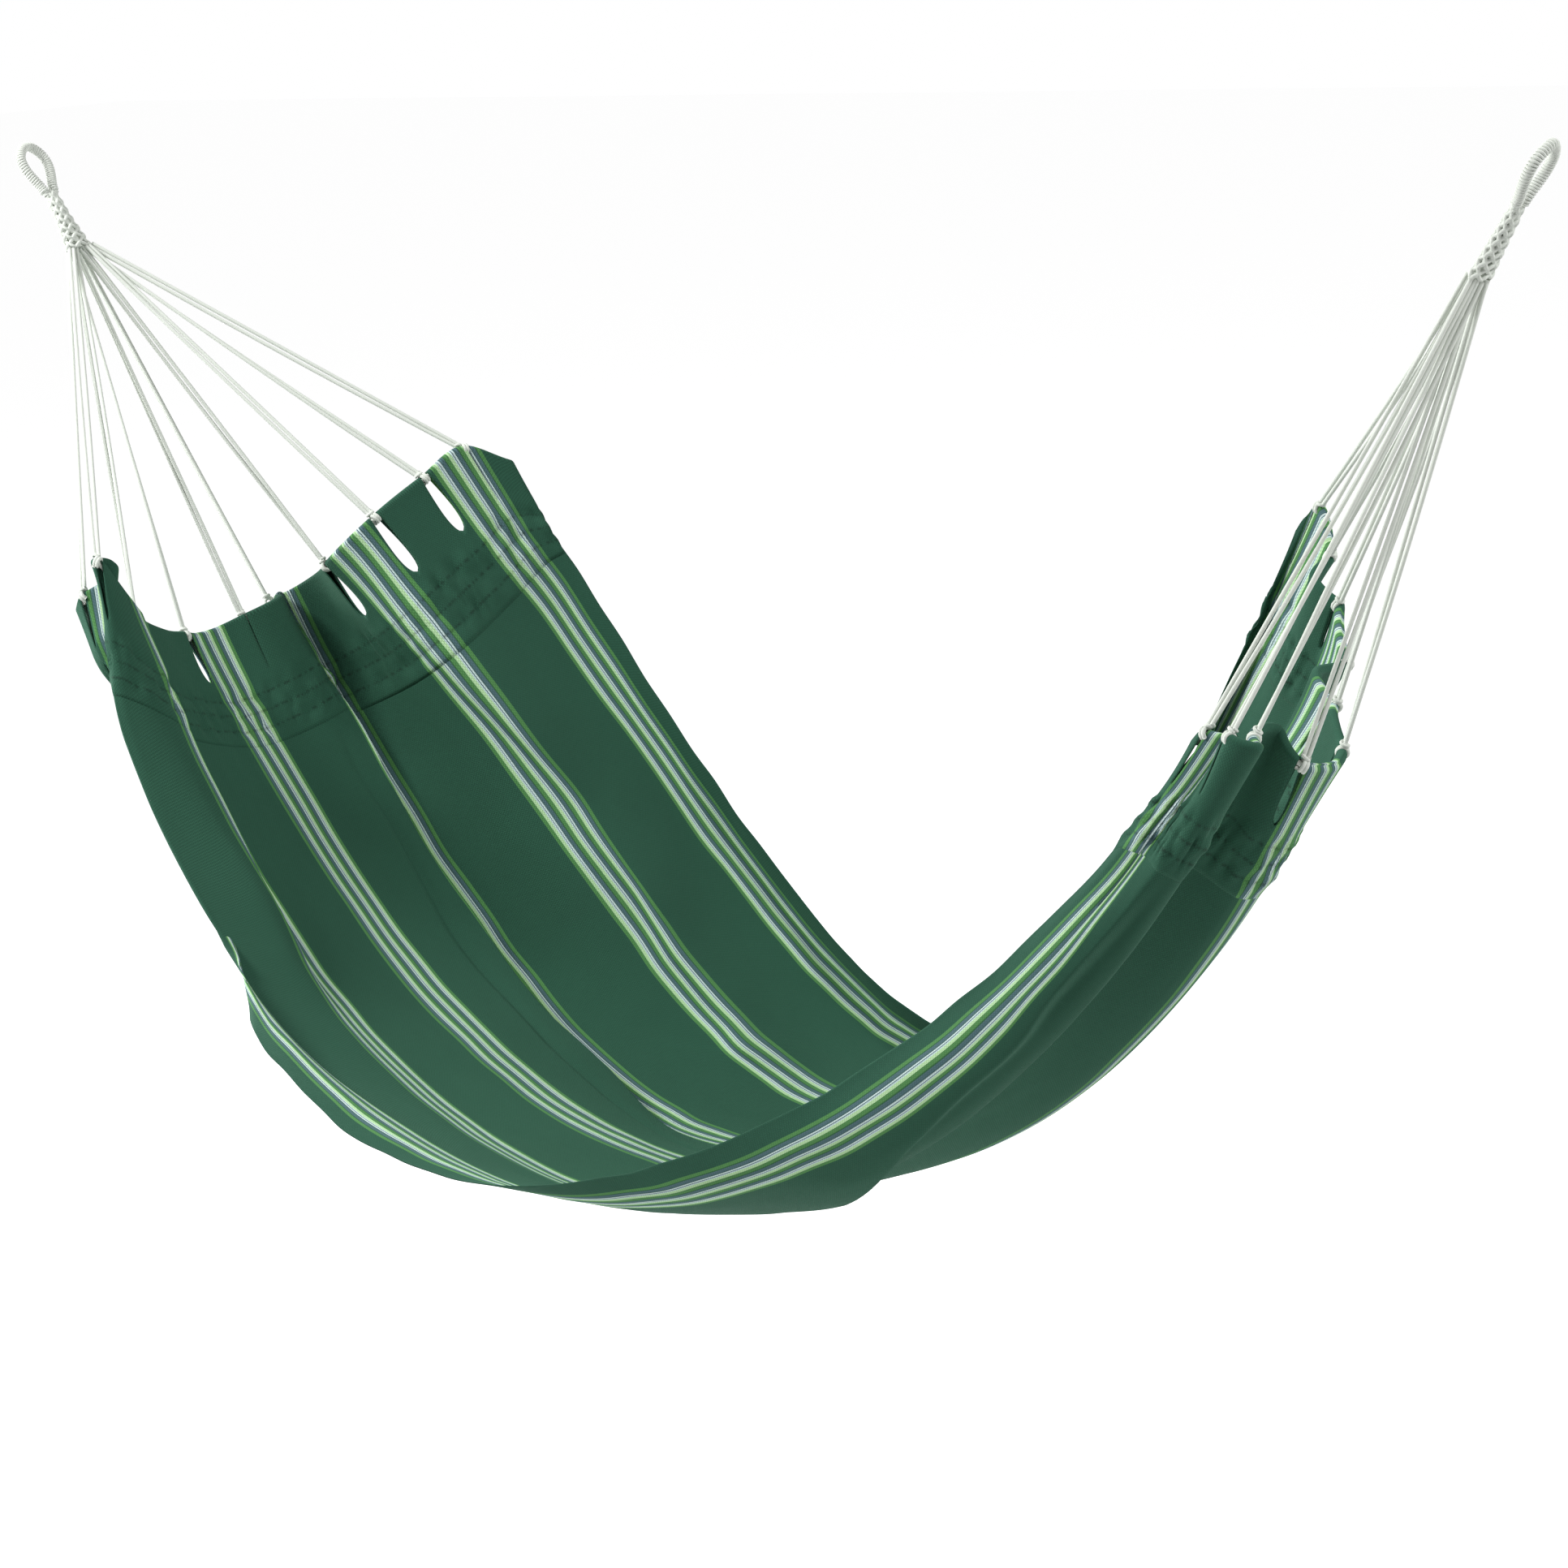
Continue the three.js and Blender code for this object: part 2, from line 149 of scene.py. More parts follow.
# ---------------------------------------------------------------- the hanging cloth's surface
def catmull(xs, ps, x):
    """Catmull-Rom values at x through knots xs with points ps, along their first axis."""
    xs = np.asarray(xs, float)
    ps = np.asarray(ps, float)
    x = np.asarray(x, float)
    k = np.clip(np.searchsorted(xs, x, side="right") - 1, 0, len(xs) - 2)
    low = np.maximum(np.arange(len(xs)) - 1, 0)
    high = np.minimum(np.arange(len(xs)) + 1, len(xs) - 1)
    extra = (1,) * (ps.ndim - 1)
    slopes = (ps[high] - ps[low]) / (xs[high] - xs[low]).reshape(-1, *extra)
    h = (xs[k + 1] - xs[k]).reshape(-1, *extra)
    t = ((x - xs[k]) / (xs[k + 1] - xs[k])).reshape(-1, *extra)
    near, far = 2 * t**3 - 3 * t**2 + 1, 3 * t**2 - 2 * t**3
    lean = (t**3 - 2 * t**2 + t) * slopes[k] + (t**3 - t**2) * slopes[k + 1]
    return near * ps[k] + far * ps[k + 1] + h * lean


def quartic(s):
    """Weights of five points a quarter apart, at each s: shape (5, len(s))."""
    rows = []
    for i in range(5):
        w = np.ones_like(s)
        for j in range(5):
            if j != i:
                w = w * (4 * s - j) / (i - j)
        rows.append(w)
    return np.array(rows)


def smooth_cloth(u, s):
    """The surface through the warp lines: u across in pitches, s from 0 at the left end to 1."""
    lines = np.einsum("lkc,km->lmc", WARP_POINTS, quartic(s))
    return catmull(WARP_AT, lines, u)


def tied_cloth(u, s):
    """The smooth cloth, with each end drawn to its ties."""
    out = smooth_cloth(u, s)
    for side, end, edge in (("left", s, 0.0), ("right", 1 - s, 1.0)):
        pull = np.clip(1 - end / TIE_REACH, 0, None) ** 2
        shift = catmull(TIE_AT, TIES[side], u) - smooth_cloth(u, np.array([edge]))[:, 0]
        out += pull[None, :, None] * shift[:, None, :]
    return out


def unit(v):
    return v / np.maximum(np.linalg.norm(v, axis=-1, keepdims=True), 1e-12)


def pleated_cloth(u, s):
    """The tied cloth, bowed out between ties that are closer than the cloth between them is wide."""
    out = tied_cloth(u, s)
    k = np.clip(np.searchsorted(TIE_AT, u, side="left") - 1, 1, LINES - 1)
    gap = TIE_AT[k + 1] - TIE_AT[k]
    phase = (u - TIE_AT[k]) / gap
    wave = np.sin(np.pi * phase) * np.where((phase < 0) | (phase > 1), MARGIN_WAVE, 1)
    across = tied_cloth(u + 0.02, s) - tied_cloth(u - 0.02, s)
    lengthways = tied_cloth(u, np.minimum(s + 0.002, 1)) - tied_cloth(u, np.maximum(s - 0.002, 0))
    normal = unit(np.cross(lengthways, across))
    for side, end in (("left", s), ("right", 1 - s)):
        ties = TIES[side]
        chord = np.linalg.norm(ties[k + 1] - ties[k], axis=1)
        slack = np.sqrt(np.maximum((PLEAT_CLOTH * PITCH * gap) ** 2 - chord**2, 0))
        depth = np.minimum(PLEAT_DEPTH * slack, PLEAT_MOST * chord)
        fade = np.clip(1 - end / PLEAT_REACH, 0, None) ** 2
        sign = np.array(PLEAT_SIGNS[side])[k - 1]
        out += normal * (depth * wave * sign)[:, None, None] * fade[None, :, None]
    return out


def noise(seed, across, lengthways, u, s):
    """Smooth random values from -1 to 1 over the cloth, with that many cells across and along it."""
    draw = np.random.default_rng(seed).uniform(-1, 1, (across + 1, lengthways + 1))
    rows = catmull(np.linspace(NEAR_EDGE, FAR_EDGE, across + 1), draw, u)
    return catmull(np.linspace(0, 1, lengthways + 1), rows.T, s).T


def bump(s, rise, full, ease, end):
    """0 outside rise..end and 1 between full and ease, with smooth flanks."""
    up = np.clip((s - rise) / (full - rise), 0, 1)
    down = np.clip((end - s) / (end - ease), 0, 1)
    return up**2 * (3 - 2 * up) * down**2 * (3 - 2 * down)


def tuck_near_edge(points, u, s):
    """The slack near edge of the left half falls outwards and under the cloth."""
    under = np.clip((TUCK_FROM - u) / (TUCK_FROM - NEAR_EDGE), 0, None)
    crest = np.exp(-(((u - CREST_PLACE) / CREST_HALF) ** 2))
    under = under[:, None] * bump(s, *TUCK_SPAN)[None, :]
    crest = crest[:, None] * bump(s, *CREST_SPAN)[None, :]
    return points + under[..., None] * np.array(TUCK) + crest[..., None] * np.array(CREST)


# Folds that run along the cloth: a line of (s, u) points, height in millimetres, half-widths in
# pitches on the near and far side, lean in millimetres towards the far edge, and the bump() of it.
FOLDS = [
    (
        [(0.0, 6.15), (0.06, 6.1), (0.2, 6.0), (0.35, 5.95), (0.5, 5.9)],
        30, 0.8, 0.14, 12, (-0.1, 0.08, 0.30, 0.46),
    ),
    ([(0.02, 5.75), (0.2, 5.62), (0.35, 5.55), (0.5, 5.5)], -5, 0.05, 0.09, 0, (0.05, 0.12, 0.36, 0.5)),
    ([(0.0, 2.95), (0.1, 2.88), (0.25, 2.7)], 14, 0.4, 0.16, 15, (-0.03, 0.03, 0.15, 0.25)),
    ([(0.04, 8.0), (0.1, 8.15), (0.2, 8.3)], 7, 0.2, 0.3, -10, (0.0, 0.05, 0.09, 0.15)),
    ([(0.15, 8.35), (0.25, 8.2), (0.35, 8.0), (0.45, 7.9)], 12, 0.2, 0.45, -14, (0.14, 0.22, 0.34, 0.42)),
    (
        [(0.64, 3.05), (0.7, 2.5), (0.77, 2.02), (0.83, 1.9), (0.89, 1.92), (0.96, 2.2)],
        -19, 0.75, 0.12, 0, (0.57, 0.72, 0.9, 0.98),
    ),
]

# Depths of the stitch rows from the folded edge, and how the cloth puckers along them.
STITCH_ROWS = (66.0, 82.0, 98.0)
PUCKER_HALF = 7
PUCKERS = 150
PUCKER_RISE = 4.2
PUCKER_SINK = 0.6


def wrinkles(u, s):
    """How far the cloth's small folds and the puckers at its seams stand off the smooth hang."""
    out = 2.4 * noise(3, 9, 5, u, s) + 1.3 * noise(4, 24, 14, u, s) + 0.35 * noise(5, 60, 40, u, s)
    depth = np.minimum(s, 1 - s) * LENGTH
    for number, row in enumerate(STITCH_ROWS):
        near_row = np.exp(-(((depth - row) / PUCKER_HALF) ** 2))
        along = np.array([0.0, 0.5, 1.0])
        gathers = noise(20 + number, PUCKERS, 1, u, along)
        ripple = catmull(along, gathers.T, s).T
        out += near_row[None, :] * (PUCKER_RISE * ripple - PUCKER_SINK)
    return out


GRID_U = np.linspace(NEAR_EDGE, FAR_EDGE, 466)
GRID_S = np.linspace(0, 1, 1011)


def cloth_grid():
    """Points and normals of the cloth's middle surface with its folds, over GRID_U and GRID_S."""
    points = tuck_near_edge(pleated_cloth(GRID_U, GRID_S), GRID_U, GRID_S)
    normal = unit(np.cross(np.gradient(points, axis=1), np.gradient(points, axis=0)))
    aside = unit(np.gradient(points, axis=0))
    rise = wrinkles(GRID_U, GRID_S)
    lean = 2.0 * noise(6, 9, 44, GRID_U, GRID_S)
    for number, (line, height, near_half, far_half, over, span) in enumerate(FOLDS):
        line = np.array(line)
        wander = 0.05 * noise(40 + number, 1, 26, np.array([NEAR_EDGE]), GRID_S)[0]
        place = catmull(line[:, 0], line[:, 1], np.clip(GRID_S, line[0, 0], line[-1, 0])) + wander
        off = GRID_U[:, None] - place[None, :]
        shape = np.exp(-((off / np.where(off < 0, near_half, far_half)) ** 2)) * bump(GRID_S, *span)
        rise += height * shape
        lean += over * shape
    points = points + normal * rise[:, :, None] + aside * lean[:, :, None]
    normal = unit(np.cross(np.gradient(points, axis=1), np.gradient(points, axis=0)))
    return points, normal


CLOTH_POINTS, CLOTH_NORMALS = cloth_grid()


def sample(grid, u, s):
    """Bilinear values of a cloth grid at matching arrays u and s."""
    a = np.clip((u - NEAR_EDGE) / (GRID_U[1] - GRID_U[0]), 0, len(GRID_U) - 1.001)
    b = np.clip(s / GRID_S[1], 0, len(GRID_S) - 1.001)
    i, j = a.astype(int), b.astype(int)
    fa, fb = (a - i)[..., None], (b - j)[..., None]
    low = grid[i, j] * (1 - fb) + grid[i, j + 1] * fb
    high = grid[i + 1, j] * (1 - fb) + grid[i + 1, j + 1] * fb
    return low * (1 - fa) + high * fa


def cloth_at(u, s):
    """Middle points and upward normals of the cloth at matching arrays u and s."""
    u, s = np.broadcast_arrays(np.asarray(u, float), np.asarray(s, float))
    return sample(CLOTH_POINTS, u, s), unit(sample(CLOTH_NORMALS, u, s))


# ---------------------------------------------------------------- node helpers
class Nodes:
    """A material's node tree, with short calls for the nodes used here."""

    def __init__(self, name):
        self.material = bpy.data.materials.new(name)
        self.material.use_nodes = True
        self.tree = self.material.node_tree
        self.tree.nodes.clear()
        self.output = self.tree.nodes.new("ShaderNodeOutputMaterial")

    def add(self, kind, inputs=(), **settings):
        node = self.tree.nodes.new(kind)
        for key, value in settings.items():
            setattr(node, key, value)
        for key, value in dict(inputs).items():
            self.feed(node.inputs[key], value)
        return node

    def feed(self, socket, value):
        if isinstance(value, bpy.types.NodeSocket):
            self.tree.links.new(value, socket)
        else:
            socket.default_value = value

    def math(self, operation, *values):
        return self.add("ShaderNodeMath", enumerate(values), operation=operation).outputs[0]

    def mix(self, factor, a, b, blend="MIX"):
        node = self.add("ShaderNodeMix", data_type="RGBA", blend_type=blend)
        self.feed(node.inputs["Factor"], factor)
        self.feed(node.inputs["A"], a)
        self.feed(node.inputs["B"], b)
        return node.outputs["Result"]

    def noise(self, vector, scale, detail=2.0):
        inputs = {"Vector": vector, "Scale": scale, "Detail": detail}
        return self.add("ShaderNodeTexNoise", inputs).outputs["Fac"]

    def finish(self, **shader):
        node = self.add("ShaderNodeBsdfPrincipled", {k.replace("_", " "): v for k, v in shader.items()})
        self.tree.links.new(node.outputs[0], self.output.inputs["Surface"])
        return self.material


def colour(red, green, blue):
    """A linear colour from 0-255 sRGB numbers."""
    out = []
    for c in (red, green, blue):
        c /= 255
        out.append(c / 12.92 if c <= 0.04045 else ((c + 0.055) / 1.055) ** 2.4)
    return (*out, 1.0)


WIDTH = (FAR_EDGE - NEAR_EDGE) * PITCH * MM
GROUP_FIRST = 0.0605
GROUP_EVERY = 0.1804
GROUP_WIDTH = 0.066
GROUP_MARGIN = 0.004
GROUP_REPEATS = 3
LAST_STRIPE = 0.07
THREAD = 0.0018
BEAD = 0.003
# The scale of the painted shade dashes along the stitch rows, and how far each painted line reaches from its
# row.
PAINTED_SHADE_DASHES = 150.0
PAINTED_SHADE_WIDTH = 0.0022
GREEN = colour(42, 87, 68)
STRIPES = [
    (0.072, colour(84, 140, 80)),
    (0.02, colour(54, 100, 66)),
    (0.068, colour(80, 110, 116)),
    (0.012, colour(60, 92, 88)),
    (0.03, colour(206, 226, 226)),
    (0.014, colour(84, 112, 116)),
    (0.026, colour(200, 222, 222)),
    (0.058, colour(186, 224, 172)),
]


def painted_stitch_shade(n, x, y):
    """Painted shade: dark dashes in the dimples where the rows of stitches draw the hems' layers together."""
    depth = n.math("MINIMUM", y, n.math("SUBTRACT", LENGTH * MM, y))
    spread = n.add("ShaderNodeCombineXYZ", {"X": x, "Y": n.math("MULTIPLY", depth, 0.4)}).outputs[0]
    gaps = n.math("MULTIPLY", n.math("SUBTRACT", n.noise(spread, PAINTED_SHADE_DASHES, 1.0), 0.42), 6.0)
    gaps = n.math("MINIMUM", n.math("MAXIMUM", gaps, 0.0), 1.0)
    rows = 0.0
    for row in STITCH_ROWS:
        off = n.math("ABSOLUTE", n.math("SUBTRACT", depth, row * MM))
        rows = n.math("MAXIMUM", rows, n.math("SUBTRACT", 1.0, n.math("DIVIDE", off, PAINTED_SHADE_WIDTH)))
    return n.math("SUBTRACT", 1.0, n.math("MULTIPLY", 0.5, n.math("MULTIPLY", rows, gaps)))


def stripe_colours(n, x):
    """The cloth's woven colours across it, mirrored past its middle."""
    folded = n.math("SUBTRACT", WIDTH / 2, n.math("ABSOLUTE", n.math("SUBTRACT", x, WIDTH / 2)))
    from_first = n.math("ADD", folded, GROUP_EVERY / 2 - GROUP_FIRST)
    in_repeat = n.math("SUBTRACT", n.math("MODULO", from_first, GROUP_EVERY), GROUP_EVERY / 2)
    in_group = n.math("ADD", n.math("DIVIDE", in_repeat, GROUP_WIDTH), 0.5)
    ramp = n.add("ShaderNodeValToRGB", {"Fac": in_group})
    ramp.color_ramp.interpolation = "CONSTANT"
    stops = [(0.0, GREEN)]
    at = GROUP_MARGIN
    for _ in range(GROUP_REPEATS):
        for share, tone in STRIPES:
            stops.append((at, tone))
            at += share
    stops.append((at, STRIPES[0][1]))
    stops.append((min(at + LAST_STRIPE, 0.998), GREEN))
    elements = ramp.color_ramp.elements
    elements[0].position, elements[0].color = stops[0]
    elements[1].position, elements[1].color = stops[-1]
    for place, tone in stops[1:-1]:
        elements.new(place).color = tone
    return ramp.outputs["Color"]


def weave_height(n, x, y):
    """Warp threads as beads in brick bond, with the dark weft showing between them."""
    thread = n.math("DIVIDE", x, THREAD)
    column = n.math("FLOOR", thread)
    bead = n.math("ADD", n.math("DIVIDE", y, BEAD), n.math("MULTIPLY", column, 0.5))
    bead = n.math("ABSOLUTE", n.math("SINE", n.math("MULTIPLY", bead, math.pi)))
    rib = n.math("SINE", n.math("MULTIPLY", n.math("SUBTRACT", thread, column), math.pi))
    rib = n.math("POWER", n.math("ABSOLUTE", rib), 0.5)
    return n.math("MULTIPLY", n.math("POWER", bead, 0.6), rib)


def grey(n, level):
    return n.add("ShaderNodeCombineColor", {"Red": level, "Green": level, "Blue": level}).outputs[0]


def cloth_material():
    n = Nodes("cotton_cloth_look")
    uv = n.add("ShaderNodeUVMap", uv_map="UVMap").outputs["UV"]
    parts = n.add("ShaderNodeSeparateXYZ", {"Vector": uv})
    x, y = parts.outputs["X"], parts.outputs["Y"]
    weave = weave_height(n, x, y)
    shade = n.math("ADD", 0.62, n.math("MULTIPLY", weave, 0.42))
    broad = n.noise(n.add("ShaderNodeTexCoord").outputs["Object"], 5.0, 4.0)
    slub = n.add("ShaderNodeMapping", {"Vector": uv, "Scale": (60.0, 900.0, 1.0)}).outputs[0]
    yarn = n.noise(slub, 1.0, 3.0)
    uneven = n.math("ADD", n.math("MULTIPLY", broad, 0.34), n.math("MULTIPLY", yarn, 0.22))
    tone = n.math("ADD", 0.72, uneven)
    # Painted shade in the stitch rows' dimples darkens the tone here.
    tone = n.math("MULTIPLY", n.math("MULTIPLY", tone, shade), painted_stitch_shade(n, x, y))
    base = n.mix(1.0, stripe_colours(n, x), grey(n, tone), "MULTIPLY")
    height = n.math("ADD", weave, n.math("MULTIPLY", yarn, 0.5))
    relief = n.add("ShaderNodeBump", {"Height": height, "Strength": 0.5, "Distance": 0.0007}).outputs[0]
    return n.finish(
        Base_Color=base, Roughness=0.88, Normal=relief, Specular_IOR_Level=0.25,
        Sheen_Weight=0.18, Sheen_Roughness=0.5, Sheen_Tint=colour(130, 190, 160),
    )


def cord_material(name, tone):
    n = Nodes(name)
    coords = n.add("ShaderNodeTexCoord").outputs["Object"]
    fuzz = n.noise(coords, 900.0, 3.0)
    broad = n.noise(coords, 30.0, 2.0)
    uneven = n.math("ADD", n.math("MULTIPLY", fuzz, 0.1), n.math("MULTIPLY", broad, 0.1))
    base = n.mix(1.0, tone, grey(n, n.math("ADD", 0.88, uneven)), "MULTIPLY")
    relief = n.add("ShaderNodeBump", {"Height": fuzz, "Strength": 0.25, "Distance": 0.0005}).outputs[0]
    return n.finish(
        Base_Color=base, Roughness=0.9, Normal=relief, Specular_IOR_Level=0.2,
        Sheen_Weight=0.1, Sheen_Roughness=0.6, Sheen_Tint=(1.0, 1.0, 1.0, 1.0),
    )


CLOTH_LOOK = cloth_material()
CORD_LOOK = cord_material("cotton_cord_look", colour(216, 221, 213))
WHIPPING_LOOK = cord_material("cord_whipping_look", colour(220, 224, 217))


# ---------------------------------------------------------------- mesh helpers
def to_metres(points):
    return np.asarray(points, float).reshape(-1, 3) * MM


def show(name, mesh, look, smooth=True):
    """The object that holds a mesh, with its look."""
    mesh.materials.append(look)
    if smooth:
        mesh.shade_smooth()
    mesh.update()
    thing = bpy.data.objects.new(name, mesh)
    bpy.context.scene.collection.objects.link(thing)
    return thing


def make_mesh(name, points, faces, look, uv=None, smooth=True):
    mesh = bpy.data.meshes.new(name)
    mesh.from_pydata(to_metres(points).tolist(), [], np.asarray(faces).tolist())
    if uv is not None:
        layer = mesh.uv_layers.new(name="UVMap")
        corner = np.zeros(len(mesh.loops), np.int32)
        mesh.loops.foreach_get("vertex_index", corner)
        layer.data.foreach_set("uv", np.asarray(uv, float).reshape(-1, 2)[corner].ravel())
    return show(name, mesh, look, smooth)


def grid_faces(rows, cols, start=0, wrap=False):
    """Quads of a rows x cols grid of points, numbered row by row; wrap closes each row into a ring."""
    i = np.arange(rows - 1)[:, None]
    j = np.arange(cols if wrap else cols - 1)[None, :]
    after = (j + 1) % cols
    quads = np.stack([i * cols + j, (i + 1) * cols + j, (i + 1) * cols + after, i * cols + after], -1)
    return quads.reshape(-1, 4) + start


def shell(points, normals, thickness, uv, faces):
    """Both faces and the rims of a thin cloth given by its middle points and normals."""
    points, normals = points.reshape(-1, 3), normals.reshape(-1, 3)
    count = len(points)
    both = np.concatenate([points + normals * thickness / 2, points - normals * thickness / 2])
    faces = np.asarray(faces)
    edges = np.concatenate([faces[:, [a, (a + 1) % 4]] for a in range(4)])
    key = np.sort(edges, axis=1)
    _, index, counts = np.unique(key, axis=0, return_index=True, return_counts=True)
    rim = edges[index[counts == 1]]
    walls = np.stack([rim[:, 1], rim[:, 0], rim[:, 0] + count, rim[:, 1] + count], -1)
    all_faces = np.concatenate([faces, faces[:, ::-1] + count, walls])
    return both, all_faces, np.concatenate([uv.reshape(-1, 2)] * 2)


def frames(path):
    """Tangents and two turning-free side vectors along a path."""
    path = np.asarray(path, float)
    tangent = unit(np.gradient(path, axis=0))
    side = np.zeros_like(path)
    start = np.array([0.0, 0.0, 1.0]) if abs(tangent[0][2]) < 0.9 else np.array([0.0, 1.0, 0.0])
    v = start - tangent[0] * start.dot(tangent[0])
    for i, t in enumerate(tangent):
        v = v - t * v.dot(t)
        v = v / max(np.linalg.norm(v), 1e-12)
        side[i] = v
    return tangent, side, np.cross(tangent, side)


def reach_along(path):
    """The distance along a path at each of its points."""
    return np.concatenate([[0], np.cumsum(np.linalg.norm(np.diff(path, axis=0), axis=1))])


def resample(path, step):
    """A smooth path through the given points, with points about a step apart."""
    path = np.asarray(path, float)
    reach = reach_along(path)
    fine = catmull(reach, path, np.linspace(0, reach[-1], max(8 * len(path), 60)))
    reach = reach_along(fine)
    places = np.linspace(0, reach[-1], max(int(reach[-1] / step) + 1, 4))
    return np.stack([np.interp(places, reach, fine[:, c]) for c in range(3)], -1)


def twisted_tube(path, radius, plies=3, lay=14.0, sides=12, groove=0.16, phase=0.0):
    """Points and quads of a laid cord: a tube whose lobed section turns once every lay millimetres."""
    path = np.asarray(path, float)
    _, a, b = frames(path)
    reach = reach_along(path)
    angle = 2 * np.pi * np.arange(sides) / sides
    turn = 2 * np.pi * reach / lay + phase
    lobes = np.abs(np.cos(plies * (angle[None, :] - turn[:, None]) / 2))
    size = radius * (1 - groove * (1 - lobes) ** 1.5)
    aside = np.cos(angle)[None, :, None] * a[:, None] + np.sin(angle)[None, :, None] * b[:, None]
    points = (path[:, None] + size[..., None] * aside).reshape(-1, 3)
    quads = grid_faces(len(path), sides, wrap=True)
    ends = [list(range(sides)), [len(points) - 1 - k for k in range(sides)]]
    return points, quads[:, ::-1], ends


def tubes_mesh(name, tubes, look):
    """One mesh from several twisted tubes."""
    points, faces, start = [], [], 0
    for p, quads, ends in tubes:
        points.append(p)
        faces += (quads + start).tolist()
        faces += [[v + start for v in e] for e in ends]
        start += len(p)
    mesh = bpy.data.meshes.new(name)
    mesh.from_pydata(to_metres(np.concatenate(points)).tolist(), [], faces)
    return show(name, mesh, look)


# ---------------------------------------------------------------- cloth pieces
def bed_cloth():
    """The main cloth, from just inside one hem's seam to the other's."""
    first = (HEM_DEPTH - SEAM_LAP) / LENGTH
    u = np.linspace(NEAR_EDGE, FAR_EDGE, 320)
    s = np.linspace(first, 1 - first, 520)
    uu, ss = np.meshgrid(u, s, indexing="ij")
    points, normals = cloth_at(uu, ss)
    uv = np.stack([(uu - NEAR_EDGE) * PITCH * MM, ss * LENGTH * MM], -1)
    both, faces, uvs = shell(points, normals, CLOTH, uv, grid_faces(len(u), len(s))[:, ::-1])
    piece = make_mesh("bed_cloth", both, faces, CLOTH_LOOK, uvs)
    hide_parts("bed_sheet")
    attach(piece, "bed")
    return piece


# A hem's legs lie LEG_OFFSET off the cloth's middle and part towards the fold from FOLD_EASE on. Their
# edges sink onto the cloth over EDGE_EASE. Their stripes sit a little aside of the cloth's own.
LEG_OFFSET = 1.25
FOLD_EASE = 55
EDGE_SINK = 1.1
EDGE_EASE = 9
INNER_JOG = 0.0012
OUTER_JOG = 0.0065
SLOT_WIDTH = 9.0
SLOT_LEAST = 0.6

# How far each cord slot gapes, as a share of its full width, near to far.
SLOT_OPEN = {
    "left": [0.35, 0.25, 0.3, 1.3, 0.0, 0.15, 1.5, 1.3, 1.15, 0.0],
    "right": [0.1, 0.2, 0.2, 0.8, 0.3, 0.3, 0.3, 0.25, 0.2, 0.2],
}


def slot_half(side, k, depth):
    """Half the width of cord slot k, in millimetres, at a depth from the folded edge."""
    t = np.clip(depth / SLOT_DEPTH, 0, 1)
    full = SLOT_WIDTH * (0.45 + 0.75 * t) * np.sqrt(np.clip(1 - t**3, 0, 1))
    return np.where(t < 1, SLOT_LEAST * (1 - t**3) + full * SLOT_OPEN[side][k], 0)


def hem_stations():
    """Depth, offset and turn about the folded edge, from the inner leg round the fold to the outer leg."""
    depths = np.concatenate([
        np.linspace(HEM_DEPTH, SLOT_DEPTH + 0.01, 18),
        SLOT_DEPTH * np.linspace(1, 0, 24)[1:] ** 1.15,
    ])
    offset = LEG_OFFSET + (FOLD_RADIUS - LEG_OFFSET) * np.clip(1 - depths / FOLD_EASE, 0, 1) ** 2
    offset = offset - EDGE_SINK * np.clip(1 - (HEM_DEPTH - depths) / EDGE_EASE, 0, 1)
    fold = np.radians([20, 45, 70, 90, 110, 135, 160])
    depth = np.concatenate([depths, np.zeros(len(fold)), depths[::-1]])
    off = np.concatenate([offset, np.full(len(fold), FOLD_RADIUS), offset[::-1]])
    turn = np.concatenate([np.zeros(len(depths)), fold, np.full(len(depths), math.pi)])
    return depth, off, turn


def hem_tab(side, k, depth, off, turn):
    """Points, outward directions and texture places of the tab before slot k."""
    left = side == "left"
    low = TIE_AT[k] + (slot_half(side, k - 1, depth) / PITCH if k > 0 else 0 * depth)
    high = TIE_AT[k + 1] - (slot_half(side, k, depth) / PITCH if k < LINES else 0 * depth)
    cols = max(int((TIE_AT[k + 1] - TIE_AT[k]) * 26), 6)
    t = np.linspace(0, 1, cols)
    uu = low[:, None] * (1 - t) + high[:, None] * t
    dd = np.repeat(depth[:, None], cols, 1)
    ss = dd / LENGTH if left else 1 - dd / LENGTH
    middle, normal = cloth_at(uu, ss)
    ahead, _ = cloth_at(uu, ss + 0.002)
    behind, _ = cloth_at(uu, ss - 0.002)
    outwards = unit(behind - ahead) if left else unit(ahead - behind)
    outwards = unit(outwards - normal * (outwards * normal).sum(-1, keepdims=True))
    away = normal * np.cos(turn)[:, None, None] + outwards * np.sin(turn)[:, None, None]
    uv = np.stack([(uu - NEAR_EDGE) * PITCH * MM, np.where(left, dd, LENGTH - dd) * MM], -1)
    uv[..., 0] += np.where(turn > 0.51 * math.pi, OUTER_JOG, INNER_JOG)[:, None]
    return middle + away * off[:, None, None], away, uv


